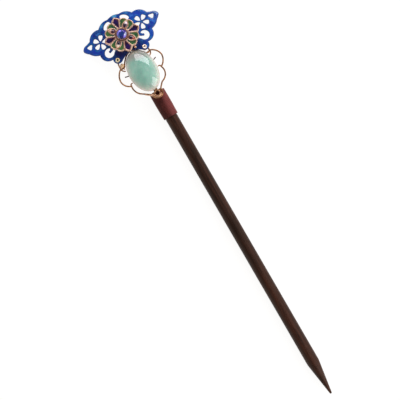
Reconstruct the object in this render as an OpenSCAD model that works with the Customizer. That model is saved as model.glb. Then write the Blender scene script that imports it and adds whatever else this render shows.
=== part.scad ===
// Hair stick with an enamelled head, lying face up on a flat surface.
// Millimetres. +Y runs from the pointed end to the head, +X to the right and +Z up.
// The origin lies on that surface, under the middle of the whole thing.

/* [Stick] */
// Diameter of the wooden stick
stick_d = 5.5; // [5:0.1:6]
// Length from the foot of the head to the start of the point
straight_l = 134; // [100:1:160]
// Length of the point
point_l = 15.5; // [10:0.5:22]
// Diameter of the blunt end of the point
blunt_d = 1; // [0.6:0.1:1.6]

/* [Wrap] */
// Largest diameter of the wrap round the stick's upper end
wrap_d = 7; // [6.8:0.1:7.6]
// Diameter of the wrap at its lower edge
wrap_low_d = 6.7; // [6.5:0.05:6.8]
// Length of the wrap below the foot of the head
wrap_l = 11.8; // [10:0.1:16]
// Length of the wrap above the foot of the head
wrap_over = 0.55; // [0.3:0.05:0.7]

/* [Wire frame] */
// Diameter of the wire
wire_d = 0.66; // [0.5:0.02:0.8]
// Turn of the wire frame about the foot of the head, in degrees
wire_turn = 3.7; // [0:0.1:5]
// Outer diameter of the ring
ring_d = 3.1; // [2.8:0.1:3.4]
// Diameter of the hole in the ring
ring_hole_d = 1.8; // [1.2:0.1:2]
// Thickness of the oval backing under the cabochon
backing_t = 0.5; // [0.4:0.05:0.6]

/* [Cabochon] */
// Length of the cabochon
cabochon_l = 19.5; // [17:0.1:19.6]
// Width of the cabochon
cabochon_w = 13; // [11:0.1:13.1]
// Height of the cabochon
cabochon_h = 4.9; // [3.5:0.1:6]
// Turn of the cabochon on the wire frame, in degrees
cabochon_turn = -4.1; // [-5:0.1:-3]

/* [Enamelled plate] */
// Thickness of the plate
plate_t = 0.9; // [0.7:0.05:1.1]
// Lean of the whole head, back from the stick, in degrees
head_lean = 10; // [9:0.25:11]
// Turn of the plate in its own plane, in degrees
plate_turn = -2.3; // [-5:0.1:0]
// Outer diameter of the eyelets
eyelet_d = 2; // [1.8:0.05:2.2]

/* [Flower] */
// Thickness of the gold walls between the enamel cells
cell_wall = 0.36; // [0.3:0.01:0.42]
// Height of the gold walls above the underside of the flower
cell_wall_h = 1.5; // [1.2:0.1:1.8]
// Diameter of the centre stone at its girdle
stone_d = 4.4; // [4:0.05:4.5]

/* [Hidden] */
$fn = 48;

// Clearances between pieces
glue_gap = 0.05;
enamel_gap = 0.03;

// Stick and wrap
stick_r = stick_d / 2;
wrap_r = wrap_d / 2;
stick_top = wrap_over - 0.25;
stick_edge = 0.5;
seat_r = stick_r - 0.2;
seat_l = wrap_l + 0.2;
belly_y = wrap_l * 0.4;
wrap_edge = 0.3;
wrap_edge_h = 0.8;
wrap_foot = 0.35;
wrap_foot_h = 0.5;

// Strip that carries the head, let into the stick under the wrap
tang_w = 1.8;
tang_t = 0.6;
tang_l = 9;
tang_z = seat_r - 0.8;
slot_clear = 0.05;

// The stick rests on the wrap's belly and on the start of its point, and the head on its wing tips
rest_pitch = atan((wrap_r - stick_r) / (straight_l - belly_y));
rest_z = wrap_r * cos(rest_pitch) + belly_y * sin(rest_pitch);
rest_roll = atan(-tan(plate_turn) * sin(head_lean));

// Height of the wire's middle above the stick's axis, at the foot of the head
ring_up = 0.58;
ring_z = wrap_r + ring_up;
ring_low = 0.42;
ring_high = 0.78;

// Places on the head: on the wire frame from its foot, and on the plate from its middle
ring_place = [-0.08, -0.3];
cabochon_place = [0.04, 11.2];
plate_place = [-0.52, 30.43];
plate_z = 1;
flower_place = [-0.11, -1.48];
flower_turn = -1.2;
eyelet_places = [[-6.7, -10.1], [5.97, -10.3]];

// Eyelets, and the lugs of the wire frame that they go through
tube_r = eyelet_d * 0.3;
tube_hole_r = eyelet_d * 0.18;
tube_clear = 0.16;
flange_w = 0.25;
flange_t = 0.25;
rim_h = 0.3;
rim_edge = 0.2;
lug_r = 1.25;
lug_t = 0.85;

// The wing tips reach down to the surface, which sets the curve of the plate
wing_touch = [18.11, 1.24];
wing_y = plate_place.y + wing_touch.y;
lean_left = head_lean - rest_pitch;
wing_z = (wing_y * sin(lean_left) - rest_z - ring_z * cos(rest_pitch)) / cos(lean_left);
wing_drop = plate_z - wing_z;
plate_curve = (wing_touch.x * wing_touch.x + wing_drop * wing_drop) / (2 * wing_drop);

// Middle of the whole thing
plate_top = 8.5;
head_end = (plate_place.y + plate_top) * cos(head_lean) + (plate_z + plate_t) * sin(head_lean);
middle_y = (head_end - straight_l - point_l) / 2;

// Right half of the plate's outline, from its top round the wing to the arch over the cabochon.
// Each row is an arc: x and y of a point on its way, x and y of its end.
outline_start = [0, plate_top];
outline_arcs = [
    [1.7, 8.2, 2.8, 7.82],
    [5.6, 7.65, 8.1, 5.9],
    [11.3, 5.8, 13.9, 3.3],
    [14.9, 2.95, 15.98, 2.7],
    [17.45, 2.12, 18.17, 1.1],
    [18.14, 0.55, 17.87, 0.13],
    [17.12, -0.77, 16.4, -1.4],
    [15.05, -3.02, 12.6, -4.27],
    [11.65, -7.57, 8.5, -8.8],
    [7.62, -11.26, 5.2, -11.35],
    [2.6, -9.8, 0, -9.05]
];

// Openings in one wing of the plate, as rows of such arcs
petal_hole_start = [0.65, 0];
petal_hole_arcs = [[1.65, 0.72, 2.65, 0.95], [3.2, 0.62, 3.22, 0]];
petal_hole_hub = [9.9, 0.4];
petal_hole_turns = [116, 45, -28, -98, 189];
corner_hole = [[14.2, 1.35], [15.55, 1.25], [14.9, 0.3]];
corner_hole_round = 0.5;
crescent_start = [3.25, 6.15];
crescent_arcs = [[4.4, 5.75, 5.2, 4.75]];
crescent_w = 1.65;
scroll_middle = [8.5, -5.5];
scroll_r = 2.12;
scroll_tail_start = [8.2, -6.6];
scroll_tail_arcs = [[6.85, -5.9, 5.6, -4.6]];
scroll_tail_w = 1.3;
tongue_start = [6.5, -3.3];
tongue_arcs = [[7, -4.5, 8.05, -5.15]];
tongue_w = 1.05;
tongue_ball_r = 0.52;

// Right half of the wire frame, in the same kind of rows: two lobes, then the hidden top lobe
lobe_start = [0, -2.35];
low_lobe_right = [[1.8, -1.45, 2.2, 0.6], [3.24, 1.72, 4.5, 2.86], [7.5, 5.15, 7.68, 8.5]];
low_lobe_left = [[1.8, -1.45, 2.35, 0.35], [4.54, 2.14, 6.33, 3.58], [7.68, 5.95, 7.68, 8.5]];
low_cusp = [7.68, 8.5];
low_tail = [[7.5, 9.15, 6.75, 9.4]];
high_lobe_right = [[9.85, 10.45, 10.72, 12.9], [10, 15.25, 7.4, 17.4]];
high_lobe_left = [[9.7, 10.05, 10.5, 12.5], [9.75, 15.02, 7.4, 17.4]];
high_cusp = [7.4, 17.4];
high_tail = [[7.15, 16.2, 6.3, 15.45]];
hug_right = [[6.4, 17, 5.45, 17.3], [4.7, 18.4, 3.2, 20.3], [1.7, 21.35, 0, 21.65]];
hug_left = [[6.4, 17, 5.5, 17.25], [4.4, 18.9, 3.3, 20], [1.9, 21.1, 0, 21.65]];
top_lobe = [[6.3, 21.6, 0, 25.3]];
vein = [[5.4, 12.6], [7.75, 13.3]];
ring_bar = [[1, 0.6], [2.2, 0.6]];
top_bar = [[0, 20], [0, 25.3]];
cusp_bead = [0.22, 0.22];
bar_d = wire_d * 1.1;
bead_d = wire_d * 1.15;
bar_reach = 0.1;
wire_sides = 8;
bead_sides = 10;
arc_steps = 6;

// Backing under the cabochon: how far inside its edge it stays, and its neck to the ring
backing_inset = 0.6;
backing_mid = (backing_t - wire_d) / 2;
neck_w = 1.8;
neck_y = 0.6;
neck_l = 3;

// Cabochon: height of its straight side, width of its foot against its full width, fineness
girdle_h = 0.7;
foot_size = 0.95;
dome_turn = 84;
dome_steps = 8;
dome_sides = 40;

// Flower: polar corners of one eighth, from the middle of a petal to the middle of a bud
petal_tip_r = 8.2;
petal_side = [7.6, 8.4];
petal_notch = [6.85, 17];
leaf_bulge = [7.4, 31];
bud_notch_r = 6.85;
petal_cell_inner = [3.2, 5];
petal_cell_corner = [6.4, 12];
petal_cell_side = [7.08, 6.4];
petal_cell_tip_r = 7.7;
leaf_cell_inner = [3.3, 13];
leaf_cell_notch = [6.35, 17.8];
leaf_cell_bulge = [6.98, 31];
leaf_cell_end = [6.5, 43.2];
leaf_cell_axis_r = 3.3;
bud_start = [2.98, 0];
bud_arcs = [[3.2, 0.6, 3.9, 0.98], [5.3, 0.72, 6.2, 0]];
flower_base_t = 0.4;
flower_stand = 0.45;
under_cap_r = 6.6;
under_cap_t = 0.3;
petal_enamel_h = 1.3;
leaf_enamel_h = 1.2;
bud_enamel_h = 1.75;
bud_wall_h = cell_wall_h + 0.2;

// Setting of the centre stone
bezel_r = stone_d / 2 + 0.45;
bezel_h = 2.3;
ledge_r = stone_d / 2 - 0.35;
ledge_z = 1.7;
girdle_z = 2;
girdle_t = 0.12;
crown_h = 0.85;
table_r = stone_d * 0.29;
star_r = stone_d * 0.41;
star_h = crown_h * 0.68;
pavilion_h = 1.45;
culet_r = 0.1;
sliver = 0.01;
post_r = 1;
post_head_r = 1.6;
post_head_t = 0.4;

// Middle of the circle through three points
function arc_middle(a, b, c) =
    let (
        turn = 2 * (a.x * (b.y - c.y) + b.x * (c.y - a.y) + c.x * (a.y - b.y)),
        aa = a * a,
        bb = b * b,
        cc = c * c
    )
    [
        (aa * (b.y - c.y) + bb * (c.y - a.y) + cc * (a.y - b.y)) / turn,
        (aa * (c.x - b.x) + bb * (a.x - c.x) + cc * (b.x - a.x)) / turn
    ];

function bearing(from, to) = atan2(to.y - from.y, to.x - from.x);

function full_turn(angle) = angle < 0 ? full_turn(angle + 360) : angle;

// Points on an arc from a through b to c, without a itself
function arc(a, b, c) =
    let (
        m = arc_middle(a, b, c),
        r = norm(a - m),
        first = bearing(m, a),
        sweep = full_turn(bearing(m, c) - first),
        way = full_turn(bearing(m, b) - first),
        turned = way < sweep ? sweep : sweep - 360
    )
    [for (i = [1:arc_steps]) let (a = first + turned * i / arc_steps) m + r * [cos(a), sin(a)]];

// A start and its rows of arcs, as one list of points
function path(start, rows, i = 0) =
    i == len(rows) ? [start]
    : let (row = rows[i], end = [row[2], row[3]])
        concat([start], arc_rest(start, row), path(end, rows, i + 1));

function arc_rest(start, row) =
    let (points = arc(start, [row[0], row[1]], [row[2], row[3]]))
    [for (i = [0:arc_steps - 2]) points[i]];

// The same points on both sides of the Y axis, or of the X axis, as one closed outline
function both_sides(points) =
    concat(points, [for (i = [len(points) - 2:-1:1]) [-points[i].x, points[i].y]]);

function both_halves(points) =
    concat(points, [for (i = [len(points) - 2:-1:1]) [points[i].x, -points[i].y]]);

function on_side(points, side) = [for (p = points) [side * p.x, p.y]];

function polar(p) = [p[0] * cos(p[1]), p[0] * sin(p[1])];

function along(points, i) =
    let (step = points[min(i + 1, len(points) - 1)] - points[max(i - 1, 0)]) step / norm(step);

function left_of(v) = [-v.y, v.x];

// Outline of a pen stroke along points, from width w at its start to w_end at its end, with round ends
function stroke(points, w, w_end) =
    let (
        last = len(points) - 1,
        widths = [for (i = [0:last]) (w + (w_end - w) * i / last) / 2],
        end_turn = bearing([0, 0], left_of(along(points, last))),
        start_turn = bearing([0, 0], left_of(along(points, 0))) + 180
    )
    concat(
        [for (i = [0:last]) points[i] + widths[i] * left_of(along(points, i))],
        [for (a = [1:5]) points[last] + widths[last] * polar([1, end_turn - 30 * a])],
        [for (i = [last:-1:0]) points[i] - widths[i] * left_of(along(points, i))],
        [for (a = [1:5]) points[0] + widths[0] * polar([1, start_turn - 30 * a])]
    );

// Solid between rings of points that run anticlockwise round the way up
module skin(rings) {
    n = len(rings[0]);
    last = len(rings) - 1;
    polyhedron(
        points = [for (ring = rings) each ring],
        faces = concat(
            [[for (k = [0:n - 1]) k]],
            [for (j = [0:last - 1]) for (k = [0:n - 1])
                [j * n + k, (j + 1) * n + k, (j + 1) * n + (k + 1) % n, j * n + (k + 1) % n]],
            [[for (k = [n - 1:-1:0]) last * n + k]]
        )
    );
}

// Round wire along points in the head's plane, with a ball at each end
module wire(points) {
    last = len(points) - 1;
    skin([for (i = [0:last]) let (side = left_of(along(points, i)))
        [for (k = [0:wire_sides - 1]) let (a = 360 * k / wire_sides)
            [points[i].x, points[i].y, 0] + wire_d / 2 * [side.x * cos(a), side.y * cos(a), sin(a)]]]);
    for (end = [points[0], points[last]]) translate([end.x, end.y, 0])
        sphere(d = wire_d, $fn = bead_sides);
}

// Short bar or bead of solder between two points of a pair
module solder(pair, d) {
    hull() for (end = pair) translate([end.x, end.y, 0]) sphere(d = d, $fn = bead_sides);
}

// Frames in which the pieces are drawn
module lying() {
    translate([-plate_place.x, -middle_y, rest_z])
        rotate([rest_pitch, 0, 0])
            rotate([0, rest_roll, 0])
                children();
}

module on_head() {
    lying() translate([0, 0, ring_z]) rotate([-head_lean, 0, 0]) children();
}

module on_wire_frame() {
    on_head() rotate([0, 0, wire_turn]) children();
}

module on_plate() {
    on_head() translate([plate_place.x, plate_place.y, 0]) rotate([0, 0, plate_turn]) children();
}

// Square to the curved plate at a place on it, with z = 0 at its underside
module square_to_plate(place) {
    tilt = asin(place.x / plate_curve);
    on_plate()
        translate([place.x, place.y, plate_z - plate_curve * (1 - cos(tilt))])
            rotate([0, tilt, 0])
                children();
}

module on_flower() {
    on_plate()
        translate([flower_place.x, flower_place.y, plate_z + plate_t + flower_stand])
            rotate([0, 0, flower_turn])
                children();
}

// Turned solid round the stick's axis, drawn with x across and y from the ring towards the point
module turned() {
    lying() rotate([90, 0, 0]) rotate_extrude() children();
}

// The wrap sits in a shallow seat, so the bare shaft starts just below its edge
module stick() {
    blunt_r = blunt_d / 2;
    color("#33201a") difference() {
        turned() polygon([
            [0, -stick_top],
            [seat_r - stick_edge, -stick_top],
            [seat_r, stick_edge - stick_top],
            [seat_r, seat_l],
            [stick_r, seat_l],
            [stick_r, straight_l],
            [blunt_r, straight_l + point_l - blunt_r],
            [blunt_r * cos(45), straight_l + point_l - blunt_r * (1 - sin(45))],
            [0, straight_l + point_l]
        ]);
        lying() translate([-tang_w / 2 - slot_clear, -tang_l - slot_clear, tang_z - slot_clear])
            cube([tang_w + 2 * slot_clear, tang_l + 2, stick_r]);
    }
}

module wrap() {
    inner = seat_r + glue_gap;
    top_r = wrap_r - 0.05;
    low_r = wrap_low_d / 2;
    color("#5e2a28") turned() polygon(concat(
        [[inner, wrap_l], [inner, -wrap_over]],
        [[top_r - wrap_edge, -wrap_over], [top_r, wrap_edge - wrap_over]],
        path([top_r, wrap_edge_h - wrap_over], [[wrap_r, belly_y, low_r, wrap_l - wrap_foot_h]]),
        [[low_r - wrap_foot * 0.3, wrap_l - wrap_foot_h * 0.3], [low_r - wrap_foot, wrap_l]]
    ));
}

// One side of the frame's wires: 1 is the right side and -1 the left
module half_wires(low_lobe, high_lobe, hug, side) {
    wire(on_side(path(lobe_start, low_lobe), side));
    wire(on_side(path(low_cusp, low_tail), side));
    wire(on_side(path(low_cusp, high_lobe), side));
    wire(on_side(path(high_cusp, high_tail), side));
    wire(on_side(path(high_cusp, hug), side));
    wire(on_side(path(high_cusp, top_lobe), side));
    solder(on_side(ring_bar, side), bar_d);
    solder(on_side([low_cusp, low_cusp + cusp_bead], side), bead_d);
    solder(on_side([high_cusp, high_cusp + [cusp_bead.x, -cusp_bead.y]], side), bead_d);
    translate([0, 0, backing_mid]) solder(on_side(vein, side), backing_t);
}

module wire_frame() {
    color("#b5713f") difference() {
        union() {
            on_wire_frame() {
                half_wires(low_lobe_right, high_lobe_right, hug_right, 1);
                half_wires(low_lobe_left, high_lobe_left, hug_left, -1);
                translate([0, 0, backing_mid]) solder(top_bar, backing_t);
                backing();
                translate([ring_place.x, ring_place.y, -ring_low])
                    cylinder(d = ring_d, h = ring_low + ring_high);
            }
            for (place = eyelet_places) square_to_plate(place)
                translate([0, 0, -glue_gap - lug_t]) cylinder(r = lug_r, h = lug_t);
            tang();
        }
        on_wire_frame() translate([ring_place.x, ring_place.y, -ring_low - 1])
            cylinder(d = ring_hole_d, h = ring_high + 3);
        for (place = eyelet_places) square_to_plate(place)
            translate([0, 0, -2]) cylinder(r = tube_r + glue_gap, h = 3);
    }
}

// Oval under the cabochon, with a neck to the ring
module backing() {
    across = cabochon_w / 2 - backing_inset;
    up = cabochon_l / 2 - backing_inset;
    oval = [for (k = [0:35]) let (a = 10 * k) [across * cos(a), up * sin(a)]];
    translate([cabochon_place.x, cabochon_place.y, -wire_d / 2]) rotate(cabochon_turn)
        linear_extrude(backing_t) polygon(oval);
    translate([-neck_w / 2, neck_y, -wire_d / 2]) cube([neck_w, neck_l, backing_t]);
}

// Strip along the slot in the stick, which turns up past the wrap's edge to the ring's bars
module tang() {
    reach = tang_l + wrap_over + bar_reach;
    lying() translate([-tang_w / 2, -tang_l, tang_z]) {
        cube([tang_w, reach, tang_t]);
        translate([0, reach, 0]) cube([tang_w, tang_t, ring_z - tang_z - bar_reach * 2]);
    }
}

module cabochon() {
    levels = concat([[foot_size, 0]], [for (i = [0:dome_steps]) let (a = dome_turn * i / dome_steps)
        [cos(a), girdle_h + (cabochon_h - girdle_h) * sin(a) / sin(dome_turn)]]);
    rings = [for (level = levels) [for (k = [0:dome_sides - 1]) let (a = 360 * k / dome_sides)
        [level[0] * cabochon_w / 2 * cos(a), level[0] * cabochon_l / 2 * sin(a), level[1]]]];
    color("#8fb8a6") on_wire_frame()
        translate([cabochon_place.x, cabochon_place.y, backing_t - wire_d / 2 + glue_gap])
            rotate(cabochon_turn) skin(rings);
}

// Openings of the right wing
module wing_openings() {
    for (turn = petal_hole_turns) translate(petal_hole_hub) rotate(turn)
        polygon(both_halves(path(petal_hole_start, petal_hole_arcs)));
    offset(r = corner_hole_round, $fn = 20) polygon(corner_hole);
    polygon(stroke(path(crescent_start, crescent_arcs), crescent_w, crescent_w));
    difference() {
        union() {
            translate(scroll_middle) circle(r = scroll_r);
            polygon(stroke(path(scroll_tail_start, scroll_tail_arcs), scroll_tail_w, scroll_tail_w * 0.8));
        }
        polygon(stroke(path(tongue_start, tongue_arcs), 2 * tongue_w, tongue_w * 0.7));
        translate([tongue_arcs[0][2], tongue_arcs[0][3]]) circle(r = tongue_ball_r);
    }
}

module plate() {
    reach = 30;
    curve_sides = 240;
    color("#1f3f9e") on_plate() intersection() {
        translate([0, 0, -reach / 2]) linear_extrude(reach) difference() {
            polygon(both_sides(path(outline_start, outline_arcs)));
            wing_openings();
            mirror([1, 0]) wing_openings();
            for (place = eyelet_places) translate(place) circle(r = tube_r + tube_clear);
            translate(flower_place) circle(r = post_r + glue_gap);
        }
        translate([0, reach / 2, plate_z - plate_curve]) rotate([90, 0, 0]) difference() {
            cylinder(r = plate_curve + plate_t, h = reach, $fn = curve_sides);
            translate([0, 0, -1]) cylinder(r = plate_curve, h = reach + 2, $fn = curve_sides);
        }
    }
}

// Tube through a lug and the plate, with a flange behind and a rounded rim in front
module eyelet(place) {
    rim_r = eyelet_d / 2;
    low = -2 * glue_gap - lug_t;
    high = plate_t + glue_gap;
    color("#c9a050") square_to_plate(place) rotate_extrude() polygon([
        [tube_hole_r, low - flange_t],
        [tube_r + flange_w, low - flange_t],
        [tube_r + flange_w, low],
        [tube_r, low],
        [tube_r, high],
        [rim_r, high],
        [rim_r, high + rim_h - rim_edge],
        [rim_r - rim_edge, high + rim_h],
        [tube_hole_r + rim_edge, high + rim_h],
        [tube_hole_r, high + rim_h - rim_edge]
    ]);
}

// Flat shapes of the flower
module flower_outline() {
    eighth = path(
        [petal_tip_r, 0],
        [
            concat(polar(petal_side), polar(petal_notch)),
            concat(polar(leaf_bulge), polar([bud_notch_r, 45]))
        ]
    );
    last = len(eighth) - 1;
    quarter = concat(
        [for (i = [0:last]) eighth[i]],
        [for (i = [last - 1:-1:1]) [eighth[i].y, eighth[i].x]]
    );
    polygon([for (q = [0:3]) for (p = quarter) p.x * polar([1, 90 * q]) + p.y * polar([1, 90 * q + 90])]);
}

module petal_cell() {
    polygon(both_halves(concat(
        [polar([petal_cell_inner[0], 0]), polar(petal_cell_inner)],
        path(polar(petal_cell_corner), [concat(polar(petal_cell_side), [petal_cell_tip_r, 0])])
    )));
}

module bud_cell() {
    polygon(both_halves(path(bud_start, bud_arcs)));
}

module leaf_cell() {
    difference() {
        polygon(concat(
            [polar([leaf_cell_axis_r, 45]), polar(leaf_cell_inner)],
            path(polar(leaf_cell_notch), [concat(polar(leaf_cell_bulge), polar(leaf_cell_end))])
        ));
        rotate(45) offset(r = cell_wall, $fn = 24) bud_cell();
    }
}

module flower_cells() {
    for (q = [0:3]) rotate(90 * q) {
        petal_cell();
        rotate(45) bud_cell();
        leaf_cell();
        mirror([1, -1]) leaf_cell();
    }
}

module flower_mount() {
    behind = -flower_stand - plate_t - 2 * glue_gap;
    color("#c08552") on_flower() difference() {
        union() {
            linear_extrude(cell_wall_h) flower_outline();
            for (q = [0:3]) rotate(45 + 90 * q)
                linear_extrude(bud_wall_h) offset(r = cell_wall, $fn = 24) bud_cell();
            cylinder(r = bezel_r, h = bezel_h);
            translate([0, 0, -under_cap_t]) cylinder(r = under_cap_r, h = under_cap_t);
            translate([0, 0, glue_gap - flower_stand]) cylinder(r = post_head_r, h = flower_stand);
            translate([0, 0, behind]) cylinder(r = post_r, h = -behind);
            translate([0, 0, behind - post_head_t]) cylinder(r = post_head_r, h = post_head_t);
        }
        translate([0, 0, flower_base_t]) linear_extrude(bezel_h) flower_cells();
        translate([0, 0, flower_base_t]) cylinder(r = ledge_r, h = bezel_h);
        translate([0, 0, ledge_z]) cylinder(r = stone_d / 2 + enamel_gap, h = bezel_h);
    }
}

// Enamel that fills a cell of the flower up to a height
module enamel(height) {
    on_flower()
        translate([0, 0, flower_base_t + enamel_gap])
            linear_extrude(height - flower_base_t - enamel_gap)
                offset(delta = -enamel_gap)
                    children();
}

module petal_enamel(i) {
    color("#2c1a58") enamel(petal_enamel_h) rotate(90 * i) petal_cell();
}

module bud_enamel(i) {
    color("#4a1f45") enamel(bud_enamel_h) rotate(90 * i + 45) bud_cell();
}

module leaf_enamel(i) {
    color("#3c6e40") enamel(leaf_enamel_h) rotate(90 * floor(i / 2))
        mirror(i % 2 == 0 ? [0, 0] : [1, -1]) leaf_cell();
}

module centre_stone() {
    color("#4a3fb8") on_flower() translate([0, 0, girdle_z]) hull() {
        cylinder(d = stone_d, h = girdle_t, $fn = 16);
        translate([0, 0, crown_h]) rotate(22.5) cylinder(r = table_r, h = sliver, $fn = 8);
        translate([0, 0, star_h]) cylinder(r = star_r, h = sliver, $fn = 8);
        translate([0, 0, -pavilion_h]) cylinder(r = culet_r, h = sliver, $fn = 8);
    }
}

stick();
wrap();
wire_frame();
cabochon();
plate();
eyelet(eyelet_places[0]);  // eyelet_left
eyelet(eyelet_places[1]);  // eyelet_right
flower_mount();
for (i = [0:3]) petal_enamel(i);
for (i = [0:3]) bud_enamel(i);
for (i = [0:7]) leaf_enamel(i);
centre_stone();
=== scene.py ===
from math import atan2, ceil, cos, hypot, pi, radians, sin, sqrt, tau

import bmesh
import bpy
import numpy as np
from mathutils import Matrix, Vector, noise
from mathutils.geometry import delaunay_2d_cdt


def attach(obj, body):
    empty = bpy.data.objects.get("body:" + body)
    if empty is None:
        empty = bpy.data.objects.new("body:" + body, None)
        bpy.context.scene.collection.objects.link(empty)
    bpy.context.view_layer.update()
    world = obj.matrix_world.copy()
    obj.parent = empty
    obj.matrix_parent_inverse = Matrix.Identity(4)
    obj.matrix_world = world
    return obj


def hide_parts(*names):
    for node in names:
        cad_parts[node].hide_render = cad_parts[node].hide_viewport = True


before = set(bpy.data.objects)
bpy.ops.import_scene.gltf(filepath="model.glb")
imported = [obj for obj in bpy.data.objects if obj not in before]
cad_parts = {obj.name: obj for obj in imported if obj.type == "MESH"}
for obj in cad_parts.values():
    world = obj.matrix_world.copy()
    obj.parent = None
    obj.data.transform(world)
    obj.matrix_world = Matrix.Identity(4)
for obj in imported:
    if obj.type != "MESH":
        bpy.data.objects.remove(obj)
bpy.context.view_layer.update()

# Shapes are worked out in millimetres, each in the frame of what carries it, and placed in metres

mm = 0.001
lay = {
    "foot": (0.52, 55.4158, 3.5273), "pitch": 0.3324, "roll": 0.3996,    # the stick's axis under the head
    "wireHeight": 4.08, "headLean": -10, "wireTurn": 3.7, "ringMiddle": (-0.08, -0.3),
    "plateMiddle": (-0.52, 30.43), "plateTurn": -2.3,
    "flowerMiddle": (-0.11, -1.48), "flowerHeight": 2.35, "flowerTurn": -1.2,
}


def turned(degrees, axis):
    return Matrix.Rotation(radians(degrees), 4, axis)


def moved(x, y, z=0):
    return Matrix.Translation((x, y, z))


lying = moved(*lay["foot"]) @ turned(lay["pitch"], "X") @ turned(lay["roll"], "Y")
onHead = lying @ moved(0, 0, lay["wireHeight"]) @ turned(lay["headLean"], "X")
onWires = onHead @ turned(lay["wireTurn"], "Z")
onPlate = onHead @ moved(*lay["plateMiddle"]) @ turned(lay["plateTurn"], "Z")
onFlower = onPlate @ moved(*lay["flowerMiddle"], lay["flowerHeight"]) @ turned(lay["flowerTurn"], "Z")


# Drawing in the plane

def polar(r, degrees):
    return (r * cos(radians(degrees)), r * sin(radians(degrees)))


def angles(end, steps):
    return [end * i / steps for i in range(steps + 1)]


def arcPoints(a, b, c, gap):    # on the circle from a through b to c, without a itself
    double = 2 * (a[0] * (b[1] - c[1]) + b[0] * (c[1] - a[1]) + c[0] * (a[1] - b[1]))
    first, second, third = (p[0] ** 2 + p[1] ** 2 for p in (a, b, c))
    mx = (first * (b[1] - c[1]) + second * (c[1] - a[1]) + third * (a[1] - b[1])) / double
    my = (first * (c[0] - b[0]) + second * (a[0] - c[0]) + third * (b[0] - a[0])) / double
    r = hypot(a[0] - mx, a[1] - my)
    first = atan2(a[1] - my, a[0] - mx)
    sweep = (atan2(c[1] - my, c[0] - mx) - first) % tau
    if (atan2(b[1] - my, b[0] - mx) - first) % tau > sweep:
        sweep -= tau
    steps = max(3, ceil(abs(sweep) * r / gap))
    return [(mx + r * cos(first + sweep * i / steps), my + r * sin(first + sweep * i / steps))
            for i in range(1, steps + 1)]


def pathPoints(start, rows, gap=0.2):    # each row is an arc: a point on its way, then its end
    points = [tuple(start)]
    for row in rows:
        points += arcPoints(points[-1], row[:2], row[2:], gap)
    return points


def circlePoints(x, y, r, gap):
    count = max(12, ceil(tau * r / gap))
    return [(x + r * cos(tau * i / count), y + r * sin(tau * i / count)) for i in range(count)]


def mirrored(points):
    return [(-x, y) for x, y in reversed(points)]


def bothSides(points):    # closed across the Y axis
    return points + mirrored(points[1:-1])


def bothHalves(points):    # closed across the X axis
    return points + [(x, -y) for x, y in reversed(points[1:-1])]


def swung(points, degrees, x=0, y=0):
    c, s = cos(radians(degrees)), sin(radians(degrees))
    return [(x + c * px - s * py, y + s * px + c * py) for px, py in points]


def penStroke(points, width, endWidth):    # outline round a line of points, with round ends
    p = np.array(points)
    along = np.gradient(p, axis=0)
    along /= np.linalg.norm(along, axis=1)[:, None]
    left = np.column_stack([-along[:, 1], along[:, 0]])
    half = np.linspace(width, endWidth, len(p))[:, None] / 2
    ends = []
    for i, turn in ((-1, 90), (0, -90)):
        facing = atan2(along[i, 1], along[i, 0]) + radians(turn)
        ends.append([tuple(p[i] + half[i] * [cos(facing - a), sin(facing - a)]) for a in angles(pi, 8)[1:-1]])
    out, back = ([tuple(q) for q in row] for row in (p + half * left, (p - half * left)[::-1]))
    return out + ends[0] + back + ends[1]


def grown(loop, by):    # an anticlockwise loop moved outwards, round at its corners
    grownLoop = []
    for i, p in enumerate(loop):
        before, after = loop[i - 1], loop[(i + 1) % len(loop)]
        a = atan2(p[1] - before[1], p[0] - before[0]) - pi / 2
        b = atan2(after[1] - p[1], after[0] - p[0]) - pi / 2
        turn = (b - a + pi) % tau - pi
        steps = max(1, ceil(turn / 0.3)) if turn > 0.3 else 0
        for k in range(steps + 1):
            facing = a + turn * (k / steps if steps else 0.5)
            grownLoop.append((p[0] + by * cos(facing), p[1] + by * sin(facing)))
    return grownLoop


def evened(points, gap):    # a closed loop with its long edges divided
    result = []
    for i, (x, y) in enumerate(points):
        endX, endY = points[(i + 1) % len(points)]
        steps = max(1, ceil(hypot(endX - x, endY - y) / gap))
        result += [(x + (endX - x) * k / steps, y + (endY - y) * k / steps) for k in range(steps)]
    return result


def anticlockwise(points):
    turn = sum(points[i - 1][0] * y - x * points[i - 1][1] for i, (x, y) in enumerate(points))
    return points if turn > 0 else points[::-1]


# Surfaces over a region of the plane

batch = 1000    # how many points are worked on at a time


def within(points, loop):    # even and odd crossings
    a = np.array(loop)
    b = np.roll(a, -1, axis=0)
    rise = np.where(b[:, 1] == a[:, 1], 1, b[:, 1] - a[:, 1])
    inside = np.zeros(len(points), bool)
    for i in range(0, len(points), batch):
        x, y = points[i:i + batch, :1], points[i:i + batch, 1:]
        level = (a[:, 1] > y) != (b[:, 1] > y)
        crosses = level & (x < (b[:, 0] - a[:, 0]) * (y - a[:, 1]) / rise + a[:, 0])
        inside[i:i + batch] = crosses.sum(1) % 2 == 1
    return inside


def anyOf(points, loops):
    return np.any([within(points, loop) for loop in loops], axis=0)


def edgeDistance(points, starts, ends):
    along = ends - starts
    square = (along ** 2).sum(1)
    best = np.empty(len(points))
    for i in range(0, len(points), batch):
        away = points[i:i + batch, None] - starts
        share = np.clip((away * along).sum(2) / square, 0, 1)
        best[i:i + batch] = np.sqrt(((away - share[..., None] * along) ** 2).sum(2).min(1))
    return best


def triangles(points, edges):
    made = delaunay_2d_cdt([Vector(p) for p in points], edges, [], 0, 1e-5, False)
    return np.array([tuple(v) for v in made[0]]), np.array(made[2])


def outerEdges(faces):    # directed, with the surface on their left
    directed = {(f[i], f[(i + 1) % 3]) for f in faces.tolist() for i in range(3)}
    return np.array(sorted(e for e in directed if e[::-1] not in directed))


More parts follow.
